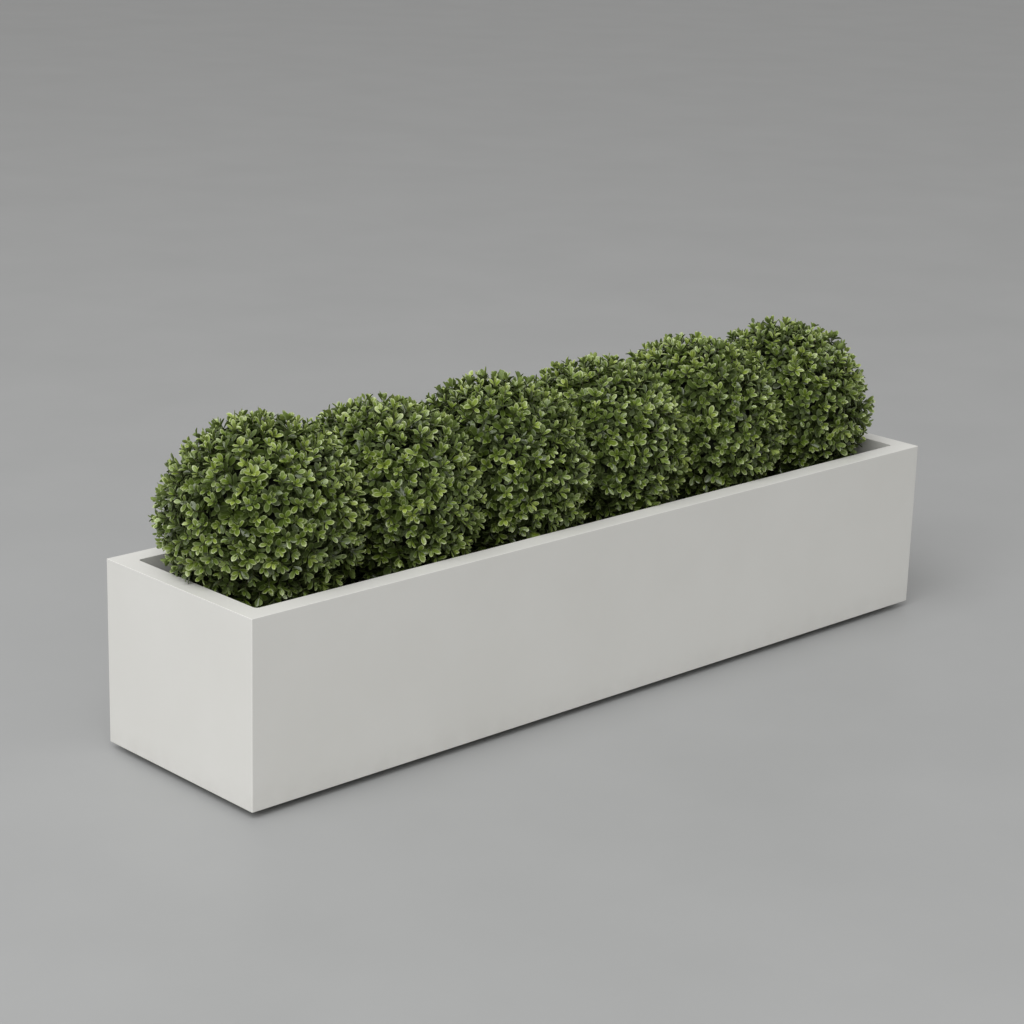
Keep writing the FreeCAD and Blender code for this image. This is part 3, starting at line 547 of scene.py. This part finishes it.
def build_bark(side, finish, chip_finish):
    """A closed slab of crumbly bark: a grid whose top is lowered by soft noise of three sizes and dips to
    the board round each spike, and loose chips that lie on it."""
    rng = np.random.default_rng(BARK_SEED + len(side))
    low, high = (np.array(corner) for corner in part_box("dressing_" + side))
    columns = int(round((high[0] - low[0]) / GRID_STEP)) + 1
    rows = int(round((high[1] - low[1]) / GRID_STEP)) + 1
    x, y = np.meshgrid(np.linspace(low[0], high[0], columns), np.linspace(low[1], high[1], rows))
    lumps = sum(height * soft_noise(rng, rows, columns, width) for height, width in BARK_LUMPS)
    top = SOIL_TOP - BARK_DROP + np.clip(lumps, *LUMP_RANGE)
    spikes = [spike for spike in SPIKES if low[0] < spike[0] < high[0]]
    for spike in spikes:
        away = np.hypot(x - spike[0], y - spike[1])
        dip = np.clip((away - FLANGE_RADIUS - DIP_START) / DIP_WIDTH, 0, 1)
        top = BOARD_TOP + LEAST_BARK + (top - BOARD_TOP - LEAST_BARK) * dip
    upper = np.stack([x, y, top], axis=2).reshape(-1, 3)
    lower = np.stack([x, y, np.full_like(x, BOARD_TOP)], axis=2).reshape(-1, 3)
    count = rows * columns
    place = np.arange(count).reshape(rows, columns)
    cells = np.stack([place[:-1, :-1], place[:-1, 1:], place[1:, 1:], place[1:, :-1]], axis=2)
    cells = cells.reshape(-1, 4)
    rim = np.concatenate([place[0, :], place[1:, -1], place[-1, -2::-1], place[-2:0:-1, 0]])
    ahead = np.roll(rim, -1)
    skirt = np.stack([rim + count, ahead + count, ahead, rim], axis=1)
    slab = new_piece("bark_dressing_" + side, np.concatenate([upper, lower]),
                     [np.concatenate([cells, cells[:, ::-1] + count, skirt])], [finish])
    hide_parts("dressing_" + side)

    spot = np.stack([rng.uniform(low[0] + CHIP_FROM_ENDS, high[0] - CHIP_FROM_ENDS, CHIPS),
                     rng.uniform(low[1] + CHIP_FROM_SIDES, high[1] - CHIP_FROM_SIDES, CHIPS)], axis=1)
    clear = np.min([np.hypot(spot[:, 0] - spike[0], spot[:, 1] - spike[1]) for spike in spikes], axis=0)
    spot = spot[clear > FLANGE_RADIUS + CHIP_FROM_FLANGE]
    column = np.round((spot[:, 0] - low[0]) / GRID_STEP).astype(int)
    row = np.round((spot[:, 1] - low[1]) / GRID_STEP).astype(int)
    ground = top[np.clip(row, 0, rows - 1), np.clip(column, 0, columns - 1)]
    chips, chip_faces = bark_chips(rng, np.column_stack([spot, ground + CHIP_LIFT]))
    chips[:, 2] = np.minimum(chips[:, 2], SOIL_TOP - CHIP_BELOW_TOP)
    loose = new_piece("bark_chips_" + side, chips, chip_faces, [chip_finish], smooth=False)
    for piece in (slab, loose):
        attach(piece, "tray_" + side)


def bark_chips(rng, places):
    """Flat splinters: six-sided plates of random length and width, turned at random and tilted a little."""
    count = len(places)
    corners = (count, CHIP_CORNERS)
    angle = np.arange(CHIP_CORNERS) * FULL_TURN / CHIP_CORNERS
    length = rng.uniform(*CHIP_LENGTHS, (count, 1))
    width = rng.uniform(*CHIP_WIDTHS, (count, 1))
    wobble = rng.uniform(*CHIP_UNEVEN, corners)
    outline = np.stack([length * np.cos(angle) * wobble, width * np.sin(angle) * wobble,
                        np.zeros(corners)], axis=2)
    thickness = rng.uniform(*CHIP_THICKNESSES, (count, 1, 1)) * UP
    local = np.concatenate([outline, outline * CHIP_UPPER + thickness], axis=1)
    turn = rng.uniform(0, FULL_TURN, (count, 1))
    tilt = rng.normal(0, CHIP_SLOPE, (count, 1))
    x = local[:, :, 0] * np.cos(turn) - local[:, :, 1] * np.sin(turn)
    y = local[:, :, 0] * np.sin(turn) + local[:, :, 1] * np.cos(turn)
    z = local[:, :, 2] + tilt * local[:, :, 0]
    points = np.stack([x, y, z], axis=2) + places[:, None]
    begin = (np.arange(count) * 2 * CHIP_CORNERS)[:, None, None]
    near = np.arange(CHIP_CORNERS)
    ahead = (near + 1) % CHIP_CORNERS
    walls = np.stack([near, ahead, ahead + CHIP_CORNERS, near + CHIP_CORNERS], axis=1)
    caps = np.array([near[::-1], near + CHIP_CORNERS])
    faces = [(begin + walls).reshape(-1, 4), (begin + caps).reshape(-1, CHIP_CORNERS)]
    return points.reshape(-1, 3), faces


# Finishes

# The sockets of a colour mix node: the two colours and the result.
MIX_FIRST, MIX_SECOND, MIX_RESULT = 6, 7, 2


def add_node(tree, kind, **inputs):
    """A shader node with values set on, or links made to, its named inputs."""
    made = tree.nodes.new(kind)
    for name, value in inputs.items():
        plug(tree, made.inputs[name.replace("_", " ")], value)
    return made


def plug(tree, socket, value):
    if isinstance(value, bpy.types.NodeSocket):
        tree.links.new(value, socket)
    else:
        socket.default_value = value


def combine(tree, operation, first, second):
    """The product, sum, difference or greatest of two values."""
    made = tree.nodes.new("ShaderNodeMath")
    made.operation = operation
    plug(tree, made.inputs[0], first)
    plug(tree, made.inputs[1], second)
    return made.outputs[0]


def ramp_between(tree, value, start, stop, low, high, course="SMOOTHSTEP"):
    """A change from low to high as the value goes from start to stop, smooth unless a course is given."""
    ramp = add_node(tree, "ShaderNodeMapRange", Value=value, From_Min=start, From_Max=stop,
                    To_Min=low, To_Max=high)
    ramp.interpolation_type = course
    return ramp.outputs["Result"]


def blend_colours(tree, share, first, second):
    """A mix of two colours or colour sockets."""
    mix = tree.nodes.new("ShaderNodeMix")
    mix.data_type = "RGBA"
    plug(tree, mix.inputs["Factor"], share)
    plug(tree, mix.inputs[MIX_FIRST], first)
    plug(tree, mix.inputs[MIX_SECOND], second)
    return mix.outputs[MIX_RESULT]


def new_group(name, inputs, outputs):
    """An empty shader node group with named sockets, and its two end nodes."""
    group = bpy.data.node_groups.new(name, "ShaderNodeTree")
    for label, kind in inputs:
        group.interface.new_socket(label, in_out="INPUT", socket_type=kind)
    for label, kind in outputs:
        group.interface.new_socket(label, in_out="OUTPUT", socket_type=kind)
    return group, group.nodes.new("NodeGroupInput"), group.nodes.new("NodeGroupOutput")


def make_mottle():
    """Soft clouding between two colours: noise at a scale, spread about its middle."""
    group, given, result = new_group(
        "mottle",
        (("Vector", "NodeSocketVector"), ("Scale", "NodeSocketFloat"), ("Spread", "NodeSocketFloat"),
         ("Dark", "NodeSocketColor"), ("Light", "NodeSocketColor")),
        (("Color", "NodeSocketColor"), ("Mask", "NodeSocketFloat")))
    noise = add_node(group, "ShaderNodeTexNoise", Vector=given.outputs["Vector"],
                     Scale=given.outputs["Scale"], Detail=5.0, Roughness=0.55)
    middle = 0.5
    low = combine(group, "SUBTRACT", middle, given.outputs["Spread"])
    high = combine(group, "ADD", middle, given.outputs["Spread"])
    mask = ramp_between(group, noise.outputs["Fac"], low, high, 0.0, 1.0)
    mixed = blend_colours(group, mask, given.outputs["Dark"], given.outputs["Light"])
    plug(group, result.inputs["Color"], mixed)
    plug(group, result.inputs["Mask"], mask)
    return group


def make_relief():
    """The height of a fine moulded or rolled skin: noise at a scale, stretched along the axes."""
    group, given, result = new_group(
        "relief",
        (("Vector", "NodeSocketVector"), ("Scale", "NodeSocketFloat"), ("Stretch", "NodeSocketVector")),
        (("Height", "NodeSocketFloat"),))
    stretched = add_node(group, "ShaderNodeVectorMath")
    stretched.operation = "MULTIPLY"
    plug(group, stretched.inputs[0], given.outputs["Vector"])
    plug(group, stretched.inputs[1], given.outputs["Stretch"])
    noise = add_node(group, "ShaderNodeTexNoise", Vector=stretched.outputs[0],
                     Scale=given.outputs["Scale"], Detail=3.0, Roughness=0.5)
    plug(group, result.inputs["Height"], noise.outputs["Fac"])
    return group


MOTTLE = make_mottle()
RELIEF = make_relief()


def use_group(tree, group, **inputs):
    made = tree.nodes.new("ShaderNodeGroup")
    made.node_tree = group
    for name, value in inputs.items():
        plug(tree, made.inputs[name], value)
    return made


def new_finish(name, roughness=0.5, metallic=0.0):
    material = bpy.data.materials.new(name)
    material.use_nodes = True
    tree = material.node_tree
    shader = tree.nodes["Principled BSDF"]
    shader.inputs["Roughness"].default_value = roughness
    shader.inputs["Metallic"].default_value = metallic
    return material, tree, shader


def surface_place(tree):
    return tree.nodes.new("ShaderNodeTexCoord").outputs["Object"]


def roughen(tree, shader, height, strength, depth):
    """Tilts the surface by a height, at a strength and a depth."""
    bump = add_node(tree, "ShaderNodeBump", Height=height, Strength=strength, Distance=depth)
    plug(tree, shader.inputs["Normal"], bump.outputs["Normal"])


EVEN = (1, 1, 1)
OTHER, METAL = 0.0, 1.0
SKIN_STRENGTH = 0.4

# The clouded finishes: the dark and the light colour, the scale and the spread of the clouding, the
# roughness, the scale and the depth of the relief and its stretch along the axes, and metal or not.
CLOUDED = {
    "mill_aluminium":
        ((0.52, 0.52, 0.53), (0.66, 0.66, 0.67), 9, 0.3, 0.38, 40, 0.0002, (0.05, 1, 1), METAL),
    "turned_brass":
        ((0.52, 0.36, 0.14), (0.68, 0.50, 0.24), 60, 0.3, 0.34, 500, 0.0001, EVEN, METAL),
    "zinc_plate":
        ((0.42, 0.42, 0.40), (0.60, 0.60, 0.57), 90, 0.25, 0.36, 420, 0.0001, EVEN, METAL),
    "black_foot_rubber":
        ((0.010, 0.010, 0.010), (0.026, 0.026, 0.026), 70, 0.3, 0.72, 900, 0.0004, EVEN, OTHER),
    "black_plug_plastic":
        ((0.012, 0.012, 0.013), (0.028, 0.028, 0.028), 50, 0.3, 0.5, 700, 0.0002, EVEN, OTHER),
    "seal_rubber":
        ((0.008, 0.008, 0.008), (0.018, 0.018, 0.018), 80, 0.3, 0.8, 900, 0.0003, EVEN, OTHER),
    "dark_core_plastic":
        ((0.014, 0.019, 0.008), (0.026, 0.034, 0.014), 30, 0.3, 0.9, 300, 0.0006, EVEN, OTHER),
    "sprig_stem":
        ((0.030, 0.034, 0.010), (0.075, 0.070, 0.026), 120, 0.3, 0.6, 600, 0.0003, EVEN, OTHER),
    "bark_mulch":
        ((0.022, 0.018, 0.012), (0.075, 0.060, 0.040), 160, 0.22, 0.9, 420, 0.002, EVEN, OTHER),
    "bark_chip":
        ((0.030, 0.022, 0.014), (0.110, 0.082, 0.050), 70, 0.25, 0.85, 500, 0.0006, (0.4, 1, 1), OTHER),
    "studio_floor":
        ((0.340, 0.345, 0.345), (0.370, 0.375, 0.375), 3, 0.4, 0.42, 60, 0.0001, EVEN, OTHER),
}


def clouded_finish(name):
    """A finish with soft colour clouding and a fine relief."""
    dark, light, scale, spread, roughness, relief_scale, relief_depth, stretch, metallic = CLOUDED[name]
    material, tree, shader = new_finish(name, roughness, metallic)
    where = surface_place(tree)
    mottle = use_group(tree, MOTTLE, Vector=where, Scale=scale, Spread=spread,
                       Dark=(*dark, 1), Light=(*light, 1))
    relief = use_group(tree, RELIEF, Vector=where, Scale=relief_scale, Stretch=stretch)
    roughen(tree, shader, relief.outputs["Height"], SKIN_STRENGTH, relief_depth)
    plug(tree, shader.inputs["Base Color"], mottle.outputs["Color"])
    return material


# The gel coat's clouding, its roughness from and to, and the dust: its colour, and as a ramp over the height
# its start and stop and the share of dust at each.
GEL_DARK = (0.702, 0.696, 0.662, 1)
GEL_LIGHT = (0.737, 0.732, 0.702, 1)
GEL_GLOSS = (0.38, 0.48)
DUST_COLOUR = (0.42, 0.40, 0.36, 1)
DUST_RAMP = (0.006, 0.045, 0.16, 0.0)
NONE_THERE = (0, 0, 0, 1)
ALL_THERE = (1, 1, 1, 1)


def gelcoat_finish():
    """White satin gel coat: faint clouding, a fine orange-peel skin and a trace of dust towards the base."""
    material, tree, shader = new_finish("white_gelcoat")
    where = surface_place(tree)
    mottle = use_group(tree, MOTTLE, Vector=where, Scale=5.0, Spread=0.30, Dark=GEL_DARK, Light=GEL_LIGHT)
    height = add_node(tree, "ShaderNodeSeparateXYZ", Vector=where)
    dust = ramp_between(tree, height.outputs["Z"], *DUST_RAMP, course="LINEAR")
    grime = use_group(tree, MOTTLE, Vector=where, Scale=38.0, Spread=0.25,
                      Dark=NONE_THERE, Light=ALL_THERE)
    amount = combine(tree, "MULTIPLY", dust, grime.outputs["Mask"])
    coat = blend_colours(tree, amount, mottle.outputs["Color"], DUST_COLOUR)
    plug(tree, shader.inputs["Base Color"], coat)
    gloss = ramp_between(tree, mottle.outputs["Mask"], 0.0, 1.0, *GEL_GLOSS, course="LINEAR")
    plug(tree, shader.inputs["Roughness"], gloss)
    relief = use_group(tree, RELIEF, Vector=where, Scale=260.0, Stretch=EVEN)
    roughen(tree, shader, relief.outputs["Height"], strength=0.12, depth=0.0004)
    return material


# The green of a leaf for each tint, and the colours of its pale marks, painted highlights but for the
# midrib, of the painted shade at its stalk and of its underside, with the underside's share of that colour.
LEAF_GREENS = (
    (0.00, (0.044, 0.065, 0.015)),
    (0.25, (0.062, 0.098, 0.011)),
    (0.50, (0.104, 0.163, 0.010)),
    (0.75, (0.174, 0.250, 0.018)),
    (1.00, (0.300, 0.380, 0.058)),
)
PALE_RIB_AND_HIGHLIGHT_GREEN = (0.52, 0.58, 0.31, 1)
STALK_SHADE_GREEN = (0.026, 0.040, 0.008, 1)
DULL_GREEN = (0.190, 0.240, 0.090, 1)
DULL_SHARE = 0.40

# Ramps, each a start, a stop and the values there. Over the way from the midrib to the edge: the painted
# highlight on the edge and the pale midrib. Over the way from stalk to tip: the painted highlight on the
# tip, how far the edge's painted highlight shows, and how far the painted shade at the stalk has gone. Over
# the
# tint: how far the pale marks show, less on darker leaves, so that shaded leaves get less painted highlight.
EDGE_HIGHLIGHT_RAMP = (0.50, 1.0, 0.0, 0.95)
RIB_RAMP = (0.0, 0.16, 0.22, 0.0)
TIP_HIGHLIGHT_RAMP = (0.72, 1.0, 0.0, 0.85)
OUTER_HALF_RAMP = (0.20, 0.80, 0.25, 1.0)
STALK_SHADE_RAMP = (0.0, 0.45, 0.42, 1.0)
PALE_MARKS_BY_TINT_RAMP = (0.20, 0.70, 0.15, 1.0)


def leaf_finish(name, sheen, gloss_above, gloss_below):
    """Box leaves: a green for each leaf from its tint, with painted shade towards the stem, a painted
    highlight on the edge and tip and a pale midrib above, and a duller, paler green below."""
    material, tree, shader = new_finish(name)
    shader.inputs["Specular IOR Level"].default_value = sheen
    flat = tree.nodes.new("ShaderNodeUVMap")
    flat.uv_map = "LeafUV"
    part = add_node(tree, "ShaderNodeSeparateXYZ", Vector=flat.outputs["UV"])
    tint = tree.nodes.new("ShaderNodeAttribute")
    tint.attribute_name = "leaf_tint"
    below = tree.nodes.new("ShaderNodeAttribute")
    below.attribute_name = "underside"

    greens = tree.nodes.new("ShaderNodeValToRGB")
    stops = greens.color_ramp.elements
    while len(stops) < len(LEAF_GREENS):
        stops.new(0.5)
    for stop, (place, colour) in zip(stops, LEAF_GREENS):
        stop.position = place
        stop.color = (*colour, 1)
    plug(tree, greens.inputs["Fac"], tint.outputs["Fac"])
    green = greens.outputs["Color"]

    across = combine(tree, "SUBTRACT", combine(tree, "MULTIPLY", part.outputs["X"], 2.0), 1.0)
    out = tree.nodes.new("ShaderNodeMath")
    out.operation = "ABSOLUTE"
    plug(tree, out.inputs[0], across)
    # A painted highlight on the edge and tip, and the leaf's own pale midrib.
    edge = ramp_between(tree, out.outputs[0], *EDGE_HIGHLIGHT_RAMP)
    rib = ramp_between(tree, out.outputs[0], *RIB_RAMP)
    end = ramp_between(tree, part.outputs["Y"], *TIP_HIGHLIGHT_RAMP)
    outer_half = ramp_between(tree, part.outputs["Y"], *OUTER_HALF_RAMP)
    stalk = ramp_between(tree, part.outputs["Y"], *STALK_SHADE_RAMP)
    # Darker leaves get less of the painted highlight.
    pale_marks_shown = ramp_between(tree, tint.outputs["Fac"], *PALE_MARKS_BY_TINT_RAMP)
    margin = combine(tree, "MULTIPLY", edge, outer_half)
    marked = combine(tree, "MAXIMUM", combine(tree, "MAXIMUM", margin, end), rib)
    pale = combine(tree, "MULTIPLY", marked, pale_marks_shown)

    lit = blend_colours(tree, pale, green, PALE_RIB_AND_HIGHLIGHT_GREEN)
    # Painted shade towards the stalk.
    shaded = blend_colours(tree, stalk, STALK_SHADE_GREEN, lit)
    dull = blend_colours(tree, DULL_SHARE, green, DULL_GREEN)
    both = blend_colours(tree, below.outputs["Fac"], shaded, dull)
    plug(tree, shader.inputs["Base Color"], both)
    gloss = ramp_between(tree, below.outputs["Fac"], 0.0, 1.0, gloss_above, gloss_below)
    plug(tree, shader.inputs["Roughness"], gloss)
    return material


PLY_DARK = (0.20, 0.12, 0.055, 1)
PLY_LIGHT = (0.50, 0.35, 0.19, 1)
PLY_STRETCH = (2.0, 26.0, 60.0)


def plywood_finish():
    """Plywood: long grain along the board, darker streaks, matt."""
    material, tree, shader = new_finish("plywood", roughness=0.7)
    where = surface_place(tree)
    long_grain = add_node(tree, "ShaderNodeMapping", Vector=where, Scale=PLY_STRETCH)
    grain = add_node(tree, "ShaderNodeTexNoise", Vector=long_grain.outputs["Vector"], Scale=6.0, Detail=6.0,
                     Roughness=0.6)
    tone = blend_colours(tree, grain.outputs["Fac"], PLY_DARK, PLY_LIGHT)
    plug(tree, shader.inputs["Base Color"], tone)
    roughen(tree, shader, grain.outputs["Fac"], strength=0.25, depth=0.0006)
    return material


def dress(finish, *names):
    """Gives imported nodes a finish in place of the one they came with."""
    for name in names:
        mesh = nodes[name].data
        mesh.materials.clear()
        mesh.materials.append(finish)


def numbered(stem, count):
    return ["%s_%d" % (stem, number) for number in range(1, count + 1)]


def both_sides(*stems):
    return ["%s_%s" % (stem, side) for stem in stems for side in ("left", "right")]


def dress_rigid_parts():
    """Finishes for the moulded shell, the metalwork, the feet, the plugs, the boards and the cores."""
    dress(gelcoat_finish(), "planter_shell")
    dress(clouded_finish("mill_aluminium"), "rail_front", "rail_back", "cross_brace", "rail_rivets",
          "brace_rivets")
    dress(clouded_finish("turned_brass"), "foot_inserts")
    dress(clouded_finish("zinc_plate"), *both_sides("spikes", "spike_nuts"), *numbered("foot_stud", FEET))
    dress(clouded_finish("black_foot_rubber"), *numbered("foot_pad", FEET))
    dress(clouded_finish("black_plug_plastic"), *both_sides("drain_plug"))
    dress(clouded_finish("seal_rubber"), *both_sides("plug_seal"))
    dress(plywood_finish(), *both_sides("board"))
    dress(clouded_finish("dark_core_plastic"), *numbered("core_upper", BALLS),
          *numbered("core_lower", BALLS))


def build_planting():
    """The six balls and the bark on both boards."""
    leaf = leaf_finish("box_leaf", sheen=0.62, gloss_above=0.28, gloss_below=0.62)
    under_leaf = leaf_finish("under_leaf", sheen=0.10, gloss_above=0.75, gloss_below=0.85)
    stem = clouded_finish("sprig_stem")
    for number in range(1, BALLS + 1):
        build_ball(number, leaf, under_leaf, stem)
    bark = clouded_finish("bark_mulch")
    chip = clouded_finish("bark_chip")
    build_bark("left", bark, chip)
    build_bark("right", bark, chip)


# Camera, floor and light

CAMERA_PLACE = (-2.3779, -2.3953, 1.2507)
CAMERA_AZIMUTH = math.radians(43.885)
CAMERA_DOWN = math.radians(16.693)
CAMERA_ROLL = math.radians(1.658)
CAMERA_LENS = 87.04
SENSOR = 36.0

FLOOR_HALF = 30.0

SKY_COLOUR = (1.0, 0.995, 0.985, 1)
SKY_STRENGTH = 0.52
KEY_PLACE = (-4.8, -2.0, 6.04)
KEY_TARGET = (0, 0, 0.2)
KEY_SIZE = 7.7
KEY_POWER = 580


def stand(thing, right, up, back, place):
    """Sets an object down at a place, with its own axes along the given right, up and back."""
    matrix = np.eye(4)
    matrix[:3, :3] = np.column_stack([right, up, back])
    matrix[:3, 3] = place
    thing.matrix_world = Matrix(matrix.tolist())


def place_camera():
    """The camera: forward from azimuth and tilt, then turned about its own view axis."""
    camera = bpy.data.cameras.new("camera")
    camera.lens = CAMERA_LENS
    camera.sensor_width = SENSOR
    camera.sensor_fit = "HORIZONTAL"
    seer = bpy.data.objects.new("camera", camera)
    bpy.context.scene.collection.objects.link(seer)
    forward = np.array([math.sin(CAMERA_AZIMUTH) * math.cos(CAMERA_DOWN),
                        math.cos(CAMERA_AZIMUTH) * math.cos(CAMERA_DOWN), -math.sin(CAMERA_DOWN)])
    level = np.array([math.cos(CAMERA_AZIMUTH), -math.sin(CAMERA_AZIMUTH), 0.0])
    above = np.cross(level, forward)
    right = level * math.cos(CAMERA_ROLL) + above * math.sin(CAMERA_ROLL)
    stand(seer, right, np.cross(right, forward), -forward, CAMERA_PLACE)
    bpy.context.scene.camera = seer


def lay_floor():
    """A wide pale studio floor with a faint sheen."""
    half = FLOOR_HALF
    points = np.array([(-half, -half, 0), (half, -half, 0), (half, half, 0), (-half, half, 0)])
    finish = clouded_finish("studio_floor")
    floor = new_piece("floor", points, [np.array([[0, 1, 2, 3]])], [finish], smooth=False)


def add_panel(name, place, target, size, power):
    """A square soft light that faces a target."""
    lamp = bpy.data.lights.new(name, "AREA")
    lamp.shape = "SQUARE"
    lamp.size = size
    lamp.energy = power
    panel = bpy.data.objects.new(name, lamp)
    bpy.context.scene.collection.objects.link(panel)
    back = unit(np.array(place, float) - np.array(target, float))
    right = unit(np.cross(UP, back))
    stand(panel, right, np.cross(back, right), back, place)


def light_studio():
    """An even pale sky and one large soft light from the near end."""
    world = bpy.data.worlds.new("studio")
    bpy.context.scene.world = world
    world.use_nodes = True
    sky = world.node_tree.nodes["Background"]
    sky.inputs["Color"].default_value = SKY_COLOUR
    sky.inputs["Strength"].default_value = SKY_STRENGTH
    add_panel("key", KEY_PLACE, KEY_TARGET, KEY_SIZE, KEY_POWER)
    bpy.context.scene.view_settings.view_transform = "Standard"


dress_rigid_parts()
build_planting()
place_camera()
lay_floor()
light_studio()
